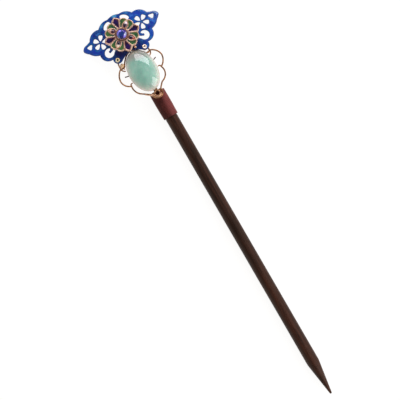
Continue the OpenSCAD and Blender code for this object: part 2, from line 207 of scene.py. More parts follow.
def region(loops, isSolid, spacing, rings):    # fine triangles, in rows along every edge, and distances to it
    rowHeight, ringRoom, gridRoom = 0.87, 0.93, 0.55    # shares of the spacing or of a ring's distance
    points, edges = [], []
    for loop in loops:
        edges += [(len(points) + i, len(points) + (i + 1) % len(loop)) for i in range(len(loop))]
        points += loop
    corners, faces = triangles(points, edges)
    faces = faces[isSolid(corners[faces].mean(1))]
    border = outerEdges(faces)
    starts, ends = corners[border[:, 0]], corners[border[:, 1]]
    used, border = np.unique(border, return_inverse=True)
    corners, border = corners[used], border.reshape(-1, 2)
    along = (ends - starts) / np.linalg.norm(ends - starts, axis=1)[:, None]
    inward = np.zeros_like(corners)
    for side in (0, 1):
        np.add.at(inward, border[:, side], np.column_stack([-along[:, 1], along[:, 0]]))
    inward /= np.maximum(np.linalg.norm(inward, axis=1), 1e-9)[:, None]
    extra = []
    for ring in rings:
        row = corners + inward * ring
        extra.append(row[edgeDistance(row, starts, ends) > ring * ringRoom])
    low, high = corners.min(0), corners.max(0)
    rows = []
    for j, y in enumerate(np.arange(low[1], high[1], spacing * rowHeight)):
        xs = np.arange(low[0] + (j % 2) * spacing / 2, high[0], spacing)
        rows.append(np.column_stack([xs, np.full(len(xs), y)]))
    grid = np.concatenate(rows)
    extra.append(grid[edgeDistance(grid, starts, ends) > rings[-1] + spacing * gridRoom])
    extra = np.concatenate(extra)
    extra = extra[isSolid(extra)]
    points, faces = triangles(np.concatenate([corners, extra]), [tuple(e) for e in border.tolist()])
    faces = faces[isSolid(points[faces].mean(1))]
    used, faces = np.unique(faces, return_inverse=True)
    points = points[used]
    return points, faces.reshape(-1, 3), edgeDistance(points, starts, ends)


def slab(flat, top, low):    # closed solid between two heights over the same region
    points, faces, _ = flat
    count = len(points)
    border = outerEdges(faces)
    walls = np.column_stack([border + count, border[:, ::-1]])
    levels = [np.column_stack([points, np.full(count, height)]) for height in (top, low)]
    return np.concatenate(levels), faces.tolist() + (faces[:, ::-1] + count).tolist() + walls.tolist()


def rounding(away, r):    # how far a rounded edge has dropped at this distance from it
    near = np.clip(away / r, 0, 1)
    return r * (1 - np.sqrt(np.clip(1 - (1 - near) ** 2, 0, 1)))


# Other surfaces

def circleRow(r, z, sides):    # points round the Z axis
    return [(r * cos(tau * k / sides), r * sin(tau * k / sides), z) for k in range(sides)]


def between(rows):    # faces from each closed row of points to the next
    return [list(dict.fromkeys(face)) for a, b in zip(rows, rows[1:])
            for face in zip(a, a[1:] + a[:1], b[1:] + b[:1], b)]


def lathe(profile, sides):    # profile of (r, z), closed round the Z axis, its ends closed where r is 0
    points, rows = [], []
    for r, z in profile:
        made = [(0, 0, z)] if r < 1e-6 else circleRow(r, z, sides)
        rows.append([len(points) + k % len(made) for k in range(sides)])
        points += made
    return points, between(rows)


def closedLathe(profile, sides):    # the same for a profile that returns to its start
    points, faces = lathe(profile, sides)
    last = list(range(len(points) - sides, len(points)))
    return points, faces + between([last, list(range(sides))])


def tube(line, radii, sides):    # round wire along a line of points, with domed ends
    line = np.array(line, float)
    radii = np.broadcast_to(radii, len(line))
    along = np.gradient(line, axis=0)
    along /= np.linalg.norm(along, axis=1)[:, None]
    points, rows = [], []
    dome = [(0.35, 0.94), (0.7, 0.71), (0.92, 0.4)]    # how far past the end, and how wide there
    stations = [(line[0] - along[0] * radii[0] * f, radii[0] * r, along[0]) for f, r in reversed(dome)]
    stations += list(zip(line, radii, along))
    stations += [(line[-1] + along[-1] * radii[-1] * f, radii[-1] * r, along[-1]) for f, r in dome]
    for middle, r, way in stations:
        side = np.cross(way, (0, 0, 1))
        side /= np.linalg.norm(side)
        over = np.cross(side, way)
        rows.append(list(range(len(points), len(points) + sides)))
        points += [tuple(middle + r * (side * cos(tau * k / sides) + over * sin(tau * k / sides)))
                   for k in range(sides)]
    return points, between(rows) + [rows[0][::-1], rows[-1]]


def bead(middle, size, sides=16):    # a blob of solder
    profile = [(sin(a), -cos(a)) for a in angles(pi, 8)]
    points, faces = lathe(profile, sides)
    return [tuple(m + s * c for m, s, c in zip(middle, size, p)) for p in points], faces


def block(low, high):    # a bar with eased edges
    made = bmesh.new()
    bmesh.ops.create_cube(made, size=1)
    for corner in made.verts:
        corner.co = Vector([a + (b - a) * (c + 0.5) for a, b, c in zip(low, high, corner.co)])
    bmesh.ops.bevel(made, geom=list(made.edges), offset=0.1, segments=2, affect="EDGES", profile=0.5)
    made.verts.ensure_lookup_table()
    points = [tuple(v.co) for v in made.verts]
    faces = [[v.index for v in f.verts] for f in made.faces]
    made.free()
    return points, faces


def joined(parts):
    points, faces = [], []
    for some, their in parts:
        faces += [[len(points) + i for i in f] for f in their]
        points += [tuple(p) for p in some]
    return points, faces


def placed(part, matrix):
    points = np.array(part[0], float)
    matrix = np.array(matrix)
    return points @ matrix[:3, :3].T + matrix[:3, 3], part[1]


def added(name, data):
    made = bpy.data.objects.new(name, data)
    bpy.context.collection.objects.link(made)
    return made


def piece(name, part, matrix, material, nodes, values=None, sharp=40):
    points, faces = placed(part, matrix)
    mesh = bpy.data.meshes.new(name)
    mesh.from_pydata((points * mm).tolist(), [], faces)
    tidy = bmesh.new()
    tidy.from_mesh(mesh)
    bmesh.ops.recalc_face_normals(tidy, faces=tidy.faces)
    tidy.to_mesh(mesh)
    tidy.free()
    for label, numbers in (values or {}).items():
        mesh.attributes.new(label, "FLOAT", "POINT").data.foreach_set("value", np.asarray(numbers, np.float32))
    mesh.shade_smooth()
    mesh.set_sharp_from_angle(angle=radians(sharp))
    mesh.materials.append(material)
    made = added(name, mesh)
    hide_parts(*nodes)
    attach(made, "root")
    return made


# Material tools

def srgb(r, g, b):    # a colour as seen, on a scale of 255
    return [((c / 255 + 0.055) / 1.055) ** 2.4 if c > 10 else c / 255 / 12.92 for c in (r, g, b)] + [1]


def addNode(tree, kind, inputs=None, **settings):
    made = tree.nodes.new("ShaderNode" + kind)
    for label, value in settings.items():
        setattr(made, label, value)
    for label, value in (inputs or {}).items():
        socket = made.inputs[label]
        if isinstance(value, bpy.types.NodeSocket):
            tree.links.new(value, socket)
        else:    # a colour of three numbers is one as seen
            socket.default_value = srgb(*value) if socket.type == "RGBA" and len(value) == 3 else value
    return made


def connect(tree, shader, **values):    # sockets by their names, without spaces: baseColor, coatWeight
    for socket in shader.inputs:
        label = socket.name[0].lower() + socket.name[1:].replace(" ", "")
        if label in values:
            tree.links.new(values[label], socket)


def compute(tree, operation, *values):
    return addNode(tree, "Math", dict(enumerate(values)), operation=operation).outputs[0]


def attribute(tree, name):
    return addNode(tree, "Attribute", attribute_name=name).outputs["Fac"]


def blend(tree, share, a, b):
    return addNode(tree, "Mix", {0: share, 6: a, 7: b}, data_type="RGBA").outputs[2]


def tinted(tree, mask, amount, ground, colour):    # some of a colour over the ground, where the mask is
    return blend(tree, compute(tree, "MULTIPLY", mask, amount), ground, colour)


def remap(tree, value, low, high, toLow, toHigh):
    return addNode(tree, "MapRange", {"Value": value, "From Min": low, "From Max": high, "To Min": toLow,
                                      "To Max": toHigh}, interpolation_type="SMOOTHSTEP").outputs[0]


def newMaterial(name, sockets):
    made = bpy.data.materials.new(name)
    made.use_nodes = True
    tree = made.node_tree
    tree.nodes.clear()
    shader = addNode(tree, "BsdfPrincipled", sockets)
    addNode(tree, "OutputMaterial", {"Surface": shader.outputs[0]})
    return made, tree, shader


def newGroup(name, inputs, outputs):
    tree = bpy.data.node_groups.new(name, "ShaderNodeTree")
    for label, value in inputs.items():
        kind = "NodeSocketVector" if isinstance(value, tuple) else "NodeSocketFloat"
        tree.interface.new_socket(name=label, in_out="INPUT", socket_type=kind).default_value = value
    for label in outputs:
        tree.interface.new_socket(name=label, in_out="OUTPUT", socket_type="NodeSocketFloat")
    return tree, tree.nodes.new("NodeGroupInput").outputs, tree.nodes.new("NodeGroupOutput").inputs


def useGroup(tree, group, **values):
    made = tree.nodes.new("ShaderNodeGroup")
    made.node_tree = group
    for label, value in values.items():
        made.inputs[label].default_value = value
    return made.outputs


def bump(tree, height, strength, distance):
    return addNode(tree, "Bump", {
        "Height": height, "Strength": strength, "Distance": distance * mm}).outputs[0]


def grain(tree, scale, detail, stretch=(1, 1, 1)):
    where = addNode(tree, "TexCoord").outputs["Object"]
    drawn = addNode(tree, "VectorMath", {0: where, 1: stretch}, operation="MULTIPLY").outputs[0]
    return addNode(tree, "TexNoise", {"Vector": drawn, "Scale": scale, "Detail": detail}).outputs[0]


def makeCloudGroup():    # soft patches, drawn out along an axis where Stretch is small
    tree, given, out = newGroup("cloud", {
        "Scale": 200, "Stretch": (1, 1, 1), "Detail": 3, "Low": 0.35, "High": 0.65}, ("Mask", "Height"))
    height = grain(tree, given["Scale"], given["Detail"], given["Stretch"])
    tree.links.new(remap(tree, height, given["Low"], given["High"], 0, 1), out["Mask"])
    tree.links.new(height, out["Height"])
    return tree


def makeRimGroup():    # 1 at the cut edge of a piece, fading inwards over Width millimetres
    tree, given, out = newGroup("rim", {"Width": 0.5, "Unevenness": 0.2}, ("Mask",))
    shift = compute(tree, "SUBTRACT", grain(tree, 900.0, 2.0), 0.5)
    pushed = compute(tree, "MULTIPLY_ADD", shift, given["Unevenness"], attribute(tree, "rim"))
    tree.links.new(remap(tree, pushed, 0.0, given["Width"], 1, 0), out["Mask"])
    return tree


def makePolishGroup():    # the hazy marks of hand polishing on metal and glaze
    tree, given, out = newGroup("polish", {"Scale": 600, "Least": 0.1, "Most": 0.3}, ("Roughness", "Height"))
    broad = grain(tree, given["Scale"], 4.0)
    fine = grain(tree, compute(tree, "MULTIPLY", given["Scale"], 6.0), 2.0)
    tree.links.new(remap(tree, broad, 0.35, 0.7, given["Least"], given["Most"]), out["Roughness"])
    tree.links.new(fine, out["Height"])
    return tree


def patches(tree, scale, detail, low, high, stretch=(1, 1, 1)):
    return useGroup(tree, cloud, Scale=scale, Stretch=stretch, Detail=detail, Low=low, High=high)


cloud, rim, polish = makeCloudGroup(), makeRimGroup(), makePolishGroup()
print("frames, drawing tools and shared effects ready")


# Stick

stickLook = {
    "radius": 2.75, "seat": (2.55, 12), "top": -0.3, "edge": 0.5, "straight": 134, "point": 15.5, "tip": 0.5,
    "shoulder": 0.9, "uneven": 0.006, "sides": 72, "slot": ((-0.95, -9.05, 1.7), (0.95, 2, 6)),
    "deep": (35, 18, 10), "mid": (52, 28, 18), "warm": (73, 37, 23), "pore": (18, 9, 6),
}


def makeWood():
    s = stickLook
    made, tree, shader = newMaterial("darkWood", {
        "IOR": 1.5, "Specular IOR Level": 0.26, "Specular Tint": (255, 236, 220)})
    figure = patches(tree, 260, 4, 0.38, 0.66, (1, 0.12, 1))
    streak = patches(tree, 1500, 3, 0.4, 0.62, (1, 0.045, 1))
    pores = patches(tree, 4200, 2, 0.56, 0.64, (1, 0.03, 1))
    ground = blend(tree, streak["Mask"], s["deep"], s["mid"])
    ground = tinted(tree, figure["Mask"], 0.45, ground, s["warm"])
    depth = compute(tree, "MULTIPLY_ADD", pores["Mask"], -0.6, streak["Height"])
    connect(tree, shader, baseColor=tinted(tree, pores["Mask"], 0.7, ground, s["pore"]),
            roughness=remap(tree, streak["Height"], 0.3, 0.7, 0.42, 0.56),
            normal=bump(tree, depth, 0.35, 0.04))
    return made


def makeStick():
    s = stickLook
    end, radius, tip, edge = s["straight"] + s["point"], s["radius"], s["tip"], s["edge"]
    seat, shaft = s["seat"]    # the wrap sits in a shallow seat
    profile = [(0, s["top"])]
    profile += [(seat - edge + edge * sin(a), s["top"] + edge * (1 - cos(a))) for a in angles(pi / 2, 6)]
    profile += [(seat, shaft)] + [(radius, y) for y in np.linspace(shaft + 0.02, s["straight"] - 1.2, 60)]
    slope = (radius - tip) / (s["point"] - tip)
    for i in range(7):    # the shoulder, just eased where the point starts
        t = -1 + i / 3
        profile.append((radius - slope * s["shoulder"] * (1 + t) ** 2 / 4, s["straight"] + s["shoulder"] * t))
    profile += [(radius - slope * d, s["straight"] + d) for d in np.linspace(1.8, s["point"] - tip, 16)]
    profile += [(tip * cos(a), end - tip * (1 - sin(a))) for a in angles(pi / 2, 5)[1:-1]]
    points, faces = lathe(profile + [(0, end)], s["sides"])
    shape = []
    for x, y, z in points:    # turned by hand, so not quite even
        share = 1 - s["uneven"] * (0.5 + 0.5 * noise.noise(Vector((x * 0.25, y * 0.25, z * 0.05))))
        shape.append((x * share, y * share, z))
    made = piece("turnedStick", (shape, faces), lying @ turned(90, "X"), makeWood(), ["stick"],
                 sharp=60)
    cutter = added("slotCutter", bpy.data.meshes.new("slotCutter"))
    points, faces = placed(block(*s["slot"]), lying)
    cutter.data.from_pydata((points * mm).tolist(), [], faces)
    slot = made.modifiers.new("slot", "BOOLEAN")
    slot.operation, slot.solver, slot.object = "DIFFERENCE", "EXACT", cutter
    cut = bpy.data.meshes.new_from_object(made.evaluated_get(bpy.context.evaluated_depsgraph_get()))
    made.modifiers.clear()
    made.data = cut
    cut.set_sharp_from_angle(angle=radians(60))
    bpy.data.objects.remove(cutter)


makeStick()
print("stick turned and slotted")


# Wrap

wrapLook = {
    "inner": 2.6, "low": 3.35, "belly": 3.5, "top": 3.45, "length": 11.8, "over": 0.55,
    "widest": 4.7, "ease": 0.3, "uneven": 0.02, "thread": 0.62, "depth": 0.07, "sides": 72, "rowsPerThread": 8,
    # the pale rose colour is painted light on the thread's +X side; the darkest is painted shade in the grooves
    "deep": (55, 18, 14), "mid": (82, 31, 25), "fibre": (116, 58, 50), "worn": (160, 84, 82), "gap": (34, 12, 11),
}


def makeThread():
    w = wrapLook
    made, tree, shader = newMaterial("maroonThread", {
        "IOR": 1.45, "Specular IOR Level": 0.2, "Sheen Weight": 0.2, "Sheen Roughness": 0.4,
        "Sheen Tint": (220, 170, 165)})
    worn = patches(tree, 420, 4, 0.35, 0.68)
    fibres = patches(tree, 5200, 3, 0.42, 0.64, (0.35, 1, 0.35))
    ground = blend(tree, worn["Mask"], w["deep"], w["mid"])
    ground = tinted(tree, fibres["Mask"], 0.35, ground, w["fibre"])
    # painted light: the thread turns paler towards its +X side, as if lit from there
    ground = blend(tree, remap(tree, attribute(tree, "side"), -0.1, 0.5, 0, 0.36), ground, w["worn"])
    # painted shade: the thread darkens down into its grooves
    connect(tree, shader, baseColor=tinted(tree, attribute(tree, "groove"), 0.55, ground, w["gap"]),
            roughness=remap(tree, fibres["Height"], 0.3, 0.7, 0.68, 0.9),
            normal=bump(tree, fibres["Height"], 0.5, 0.03))
    return made


def makeWrap():
    w = wrapLook
    start, end, sides, step = -w["over"], w["length"], w["sides"], w["thread"] / w["rowsPerThread"]
    points, groove = [], []
    for i in range(int((end - start) / step) + 1):
        y = start + i * step
        share = np.interp(y, [start, w["widest"], end], [0, 0.5, 1])
        if share < 0.5:
            outer = w["top"] + (w["belly"] - w["top"]) * sin(pi * share)
        else:
            outer = w["belly"] - (w["belly"] - w["low"]) * (2 * share - 1) ** 1.6
        outer -= rounding(min(y - start, end - y), w["ease"])
        for k in range(sides):
            x, z = cos(tau * k / sides), sin(tau * k / sides)
            deep = abs(2 * ((y / w["thread"] + k / sides) % 1) - 1) ** 3
            loose = 0.5 + 0.5 * noise.noise(Vector((x * 2, z * 2, y * 3)))
            r = outer - w["depth"] * deep - w["uneven"] * loose
            points.append((r * x, r * z, y))
            groove.append(deep)
    points += circleRow(w["inner"], end, sides) + circleRow(w["inner"], start, sides)
    groove += [1] * sides * 2
    rows = [list(range(first, first + sides)) for first in range(0, len(points), sides)]
    # side runs from -1 to 1 across the wrap, and its +X side takes the painted light
    piece("boundWrap", (points, between(rows + rows[:1])), lying @ turned(90, "X"), makeThread(),
          ["wrap"], {"groove": groove, "side": [x / hypot(x, y) for x, y, _ in points]}, sharp=60)


makeWrap()
print("wrap wound")


# Metals

metalLook = {
    "rose": ((182, 132, 88), (134, 92, 58), (80, 50, 30)),    # bright, usual and tarnished
    "pink": ((250, 216, 190), (214, 168, 140), (132, 88, 58)),
    "gold": ((255, 246, 210), (246, 224, 166), (196, 164, 96)),
    "warm": ((255, 246, 236), (252, 230, 204), (214, 160, 98)),
    # the two pale solder tones are partly painted highlight
    "fresh": (232, 184, 150), "freshest": (255, 218, 168), "vein": (84, 60, 52),
}


def makeMetal(name, colours, metallic, least, most, rimWidth=None, solder=False, shaded=None):
    bright, usual, tarnished = colours
    made, tree, shader = newMaterial(name, {"Metallic": metallic, "IOR": 1.5})
    worn = patches(tree, 700, 3, 0.4, 0.62)
    dull = patches(tree, 1600, 4, 0.54, 0.72)
    marks = useGroup(tree, polish, Scale=1400, Least=least, Most=most)
    ground = blend(tree, worn["Mask"], usual, bright)
    ground = tinted(tree, dull["Mask"], 0.6, ground, tarnished)
    if rimWidth:
        edge = useGroup(tree, rim, Width=rimWidth, Unevenness=0.05)
        ground = tinted(tree, edge["Mask"], 0.5, ground, bright)
    if solder:    # pale and matt on the solder, which is partly a painted highlight, and darkest on the thin veins
        state = attribute(tree, "solder")
        for low, high, toLow, toHigh, tone in ((0.0, 1.0, 0, 1, "fresh"), (1.0, 2.0, 0, 1, "freshest"),
                                               (-1.0, 0.0, 1, 0, "vein")):
            ground = blend(tree, remap(tree, state, low, high, toLow, toHigh), ground, metalLook[tone])
        connect(tree, shader, metallic=remap(tree, state, 0.3, 2.0, metallic, 0.1))
    if shaded:    # painted shade in the bores and beside the cut stone
        ground = blend(tree, attribute(tree, "shade"), ground, shaded)
    connect(tree, shader, baseColor=ground, roughness=marks["Roughness"],
            normal=bump(tree, marks["Height"], 0.12, 0.02))
    return made


roseWire = makeMetal("roseWire", metalLook["rose"], 0.8, 0.2, 0.36, solder=True)
# the last colour given to each is its painted shade
pinkGold = makeMetal("pinkGold", metalLook["pink"], 0.72, 0.25, 0.42, rimWidth=0.2, shaded=(112, 78, 74))
paleGold = makeMetal("paleGold", metalLook["gold"], 0.8, 0.3, 0.45, shaded=(88, 76, 22))
warmGold = makeMetal("warmGold", metalLook["warm"], 0.8, 0.3, 0.45, shaded=(140, 80, 26))


# Wire frame

wireLook = {
    "radius": 0.33, "tail": 0.27, "bar": 0.36, "vein": 0.25, "gap": 0.22, "wander": 0.03, "sides": 14,
    "start": (0, -2.35),
    "lowRight": [(1.8, -1.45, 2.2, 0.6), (3.24, 1.72, 4.5, 2.86), (7.5, 5.15, 7.68, 8.5)],
    "lowLeft": [(1.8, -1.45, 2.35, 0.35), (4.54, 2.14, 6.33, 3.58), (7.68, 5.95, 7.68, 8.5)],
    "lowCusp": (7.68, 8.5), "lowTail": [(7.5, 9.15, 6.75, 9.4)],
    "highRight": [(9.85, 10.45, 10.72, 12.9), (10, 15.25, 7.4, 17.4)],
    "highLeft": [(9.7, 10.05, 10.5, 12.5), (9.75, 15.02, 7.4, 17.4)],
    "highCusp": (7.4, 17.4), "highTail": [(7.15, 16.2, 6.3, 15.45)],
    "hugRight": [(6.4, 17, 5.45, 17.3), (4.7, 18.4, 3.2, 20.3), (1.7, 21.35, 0, 21.65)],
    "hugLeft": [(6.4, 17, 5.5, 17.25), (4.4, 18.9, 3.3, 20), (1.9, 21.1, 0, 21.65)],
    "topLobe": [(6.3, 21.6, 0, 25.3)],
    "veins": [((5.4, 12.6), (7.75, 13.3))], "bars": [((1, 0.6), (2.2, 0.6))], "middleBar": ((0, 20), (0, 25.3)),
    "solder": [((7.7, 8.63), (0.42, 0.46, 0.36)), ((7.42, 17.3), (0.46, 0.44, 0.36))],    # on both sides
    "solderLeft": [((-6.08, 18.15), (0.95, 1.15, 0.36), 2), ((-6.06, 16.42), (0.36, 0.34, 0.3), 1)],
    "solderRight": [((6.5, 17), (0.36, 0.62, 0.27), 1)],
    "oldSolder": 0.4, "ringSolder": 0.35,
    "band": ((-1.62, -0.1), [(-0.86, -1.62, 1.2, -1.2)]), "bandLevel": 0.02,    # broad seam round the ring
    "bandWidth": (0.26, 0.16),    # least, and what its middle adds
    "seam": [(-2.0, -0.2), (-2.85, 0.42), (-3.7, 1.1), (-4.8, 2.08)],    # solder run along the lower left wire
    "seamLevel": 0.03, "seamWidth": (0.42, 0.3),
    "ring": (0.9, 1.55, -0.42, 0.78, 0.08),
    "stonePlace": (0.04, 11.2), "stoneTurn": -4.1, "backing": (5.9, 9.15, -0.33, 0.17), "backingMiddle": -0.08,
    "neck": ((-0.9, 0.6, -0.33), (0.9, 3.6, 0.17)),
    "tang": ((-0.9, -9, 1.75), (0.9, 0.8, 2.35)), "tangEnd": ((-0.9, 0.65, 1.75), (0.9, 1.25, 3.88)),
    "lugs": [(-6.7, -10.1), (5.97, -10.3)], "lug": (1.25, -0.9, -0.05), "lugHole": 0.65,
}
plateLook = {"curve": 51.027, "low": 1, "thickness": 0.9}


def squareToPlate(x, y):
    tilt = np.arcsin(x / plateLook["curve"])
    drop = plateLook["curve"] * (1 - cos(tilt))
    return onPlate @ moved(x, y, plateLook["low"] - drop) @ Matrix.Rotation(tilt, 4, "Y")


def easedDisc(r, low, high, ease=0.1):
    arc = [(sin(a), 1 - cos(a)) for a in angles(pi / 2, 4)]
    return [(0, low)] + [(r - ease + ease * a, low + ease * b) for a, b in arc] + \
        [(r - ease + ease * a, high - ease * b) for a, b in reversed(arc)] + [(0, high)]


def makeWires():
    w = wireLook
    parts, solder = [], []

    def add(state, *made, on=onWires):    # state: 0 plain, up to 2 where the solder is palest, partly as a painted highlight, -1 on the veins
        parts.extend(placed(part, on) for part in made)
        solder.extend([state] * len(made))

    def wire(start, rows, side, lift=0.0):    # one that lifts is a tail, and thins
        flat = pathPoints(start, rows, w["gap"])
        line = []
        for i, (x, y) in enumerate(flat):
            wander = w["wander"] * noise.noise(Vector((x * 0.9 * side, y * 0.9, 3)))
            line.append((side * x, y, lift * (i / len(flat)) ** 2 + wander))
        return tube(line, np.linspace(w["radius"], w["tail" if lift else "radius"], len(flat)), w["sides"])

    def bar(a, b, side, r, z=0.0):
        return tube([(side * (a[0] + (b[0] - a[0]) * t), a[1] + (b[1] - a[1]) * t, z)
                     for t in (0, 0.33, 0.67, 1)], r, 12)

    for side, label in ((1, "Right"), (-1, "Left")):
        for start, rows, lift in (("start", "low" + label, 0), ("lowCusp", "lowTail", 0.12),
                                  ("lowCusp", "high" + label, 0), ("highCusp", "highTail", 0.1),
                                  ("highCusp", "hug" + label, 0), ("highCusp", "topLobe", 0)):
            add(0, wire(w[start], w[rows], side, lift))
        add(0, *[bar(*pair, side, w["bar"]) for pair in w["bars"]])
        add(-1, *[bar(*pair, side, w["vein"], w["backingMiddle"]) for pair in w["veins"]])
        add(w["oldSolder"], *[bead((side * x, y, 0), size) for (x, y), size in w["solder"]])
        for (x, y), size, state in w["solder" + label]:
            add(state, bead((x, y, 0), size))
    band, seam, (least, more) = pathPoints(*w["band"]), w["seam"], w["bandWidth"]
    widths = least + more * np.sin(np.linspace(0.2, pi - 0.5, len(band)))
    # the band round the ring is painted pale, partly a painted highlight
    add(1, tube([(x, y, w["bandLevel"]) for x, y in band], widths, w["sides"]),
        tube([(x, y, w["seamLevel"]) for x, y in seam], np.linspace(*w["seamWidth"], len(seam)), w["sides"]))
    add(0, bar(*w["middleBar"], 1, w["vein"], w["backingMiddle"]))
    inner, outer, low, high, ease = w["ring"]
    middle, half = (inner + outer) / 2, (outer - inner) / 2
    collar = [(inner, low + ease), (inner + ease, low), (outer - ease, low), (outer, low + ease)]
    collar += [(middle + half * cos(a), high - half + half * sin(a)) for a in angles(pi, 8)]
    add(w["ringSolder"], placed(closedLathe(collar, 32), moved(*lay["ringMiddle"])))
    across, up, low, high = w["backing"]
    oval = [(1 - 0.02 * (1 - sin(a)), low + 0.12 * (1 - cos(a))) for a in angles(pi / 2, 4)]
    oval, faces = lathe([(0, low)] + oval + [(0.985, high), (0, high)], 48)
    oval = [(x * across, y * up, z) for x, y, z in oval]
    add(0, placed((oval, faces), moved(*w["stonePlace"]) @ turned(w["stoneTurn"], "Z")), block(*w["neck"]))
    hole, (_, low, high) = w["lugHole"], w["lug"]
    lug = closedLathe([(hole, low)] + easedDisc(*w["lug"])[1:-1] + [(hole, high)], 32)
    for place in w["lugs"]:
        add(0, lug, on=squareToPlate(*place))
    add(0, block(*w["tang"]), block(*w["tangEnd"]), on=lying)
    fresh = [state for state, part in zip(solder, parts) for _ in part[0]]
    piece("goldWires", joined(parts), Matrix(), roseWire, ["wire_frame"], {"solder": fresh},
          sharp=50)


makeWires()
print("wire frame bent and soldered")


# Cabochon

stoneLook = {
    "place": (0.04, 11.2, 0.22), "turn": -4.1, "across": 6.5, "up": 9.75, "height": 4.9, "girdle": 0.7,
    "back": [(0, 0.02), (0.9, 0), (0.935, 0.03)], "foot": 0.95, "edge": 0.08, "sides": 96, "levels": 26,
    "smokeLean": 0.15, "smokeFrom": 0.28,
    "deep": (132, 183, 166), "mid": (152, 200, 182), "milk": (190, 218, 204),
    # the last two colours are the painted shadow of the plate on the stone's top
    "rimTone": (222, 204, 192), "moss": (104, 124, 92), "haze": (134, 136, 128), "smoke": (78, 90, 70),
}


def makeStone():
    s = stoneLook
    made, tree, shader = newMaterial("greenStone", {
        "IOR": 1.54, "Subsurface Weight": 0.35, "Subsurface Radius": (0.5, 1.0, 0.75),
        "Subsurface Scale": 0.0022, "Coat Weight": 0.9, "Coat Roughness": 0.03})
    clouds = patches(tree, 150, 4, 0.36, 0.66)
    veils = patches(tree, 420, 5, 0.48, 0.72, (1, 0.5, 1))
    specks = patches(tree, 1500, 3, 0.64, 0.74)
    ground = blend(tree, clouds["Mask"], s["deep"], s["mid"])
    ground = tinted(tree, veils["Mask"], 0.4, ground, s["milk"])
    ground = tinted(tree, specks["Mask"], 0.35, ground, s["moss"])
    # painted light: the stone turns paler towards its girdle, as if lit through its thin edge
    ground = blend(tree, remap(tree, attribute(tree, "rise"), 0.0, 0.86, 0.95, 0.0), ground, s["rimTone"])
    # painted shadow of the plate and flower over the stone's top
    smoke = attribute(tree, "smoke")
    ground = blend(tree, remap(tree, smoke, 0.06, 0.42, 0, 0.9), ground, s["haze"])
    ground = blend(tree, remap(tree, smoke, 0.5, 0.85, 0, 0.85), ground, s["smoke"])
    connect(tree, shader, baseColor=ground, roughness=remap(tree, veils["Height"], 0.3, 0.7, 0.06, 0.11),
            normal=bump(tree, clouds["Height"], 0.015, 0.3))
    foot, girdle, edge = s["foot"], s["girdle"], s["edge"]
    profile = [(r, z, 0) for r, z in s["back"]]    # share of the radius, height, share of the dome
    profile += [(foot + (1 - foot) * sin(pi / 2 * t), edge + (girdle - edge) * t, 0)
                for t in (0, 0.25, 0.5, 0.75)]
    for i in range(s["levels"] + 1):
        a = pi / 2 * i / s["levels"]
        profile.append((cos(a) if i < s["levels"] else 0, girdle + (s["height"] - girdle) * sin(a), sin(a)))
    points, faces = lathe([(r, z) for r, z, _ in profile], s["sides"])
    rise = [level for r, _, level in profile for _ in range(s["sides"] if r else 1)]
    smoke = [np.clip(y + s["smokeLean"] * x - s["smokeFrom"], 0, 1)    # painted shadow of the plate: greyer, then dark beside it
             for x, y, _ in points]
    points = [(x * s["across"], y * s["up"], z) for x, y, z in points]
    piece("domedStone", (points, faces), onWires @ moved(*s["place"]) @ turned(s["turn"], "Z"), made,
          ["cabochon"], {"rise": rise, "smoke": smoke})


makeStone()
print("cabochon domed and polished")


# Enamelled plate

plateLook.update({
    "outline": [(1.7, 8.2, 2.8, 7.82), (5.6, 7.65, 8.1, 5.9), (11.3, 5.8, 13.9, 3.3), (14.9, 2.95, 15.98, 2.7),
                (17.45, 2.12, 18.17, 1.1), (18.14, 0.55, 17.87, 0.13), (17.12, -0.77, 16.4, -1.4),
                (15.05, -3.02, 12.6, -4.27), (11.65, -7.57, 8.5, -8.8), (7.62, -11.26, 5.2, -11.35),
                (2.6, -9.8, 0, -9.05)],
    "top": (0, 8.5),
    "blossomHub": (9.9, 0.4), "blossomTurns": (116, 45, -28, -98, 189),
    "blossomStart": (0.65, 0), "blossomPetal": [(1.65, 0.72, 2.65, 0.95), (3.2, 0.62, 3.22, 0)],
    "corner": [(14.2, 1.35), (15.55, 1.25), (14.9, 0.3)], "cornerRound": 0.5,
    "crescent": ((3.25, 6.15), [(4.4, 5.75, 5.2, 4.75)], 1.65, 1.65),
    "scroll": (8.5, -5.5, 2.12), "scrollTail": ((8.2, -6.6), [(6.85, -5.9, 5.6, -4.6)], 1.3, 1.04),
    "tongue": ((6.5, -3.3), [(7, -4.5, 8.05, -5.15)], 2.1, 0.735), "tongueBall": (8.05, -5.15, 0.52),
    "eyeletHole": 0.76, "post": (-0.11, -1.48, 1.05),
    "gap": 0.2, "spacing": 0.34, "rings": (0.05, 0.13, 0.24, 0.42),
    "edge": 0.12, "backEdge": 0.2, "pillow": 0.07, "pillowReach": 0.7,
    "deep": (18, 34, 124), "mid": (28, 60, 170), "light": (60, 126, 212), "teal": (24, 104, 158),
    # the last two colours are a painted highlight and a painted shadow
    "violet": (62, 34, 136), "rimTone": (12, 40, 120), "cyan": (84, 176, 222), "night": (16, 20, 70),
    "washes": [    # place, reach, and how light or dark: painted highlight where light, painted shadow where dark
        (0.5, 8, 0.8, 0.85), (-6.4, 6.9, 0.8, 0.6), (5.9, 7.1, 0.8, 0.4), (12.1, 4.9, 0.8, 0.3),
        (-9.5, 5.2, 1.2, 0.2), (16.6, 1.7, 0.8, 0.15), (0, -8, 2.6, -1.1), (-4.6, -8.8, 2.2, -0.8),
        (5, -8.6, 2, -0.5), (-12.4, -5.6, 1.3, -0.5)],
})


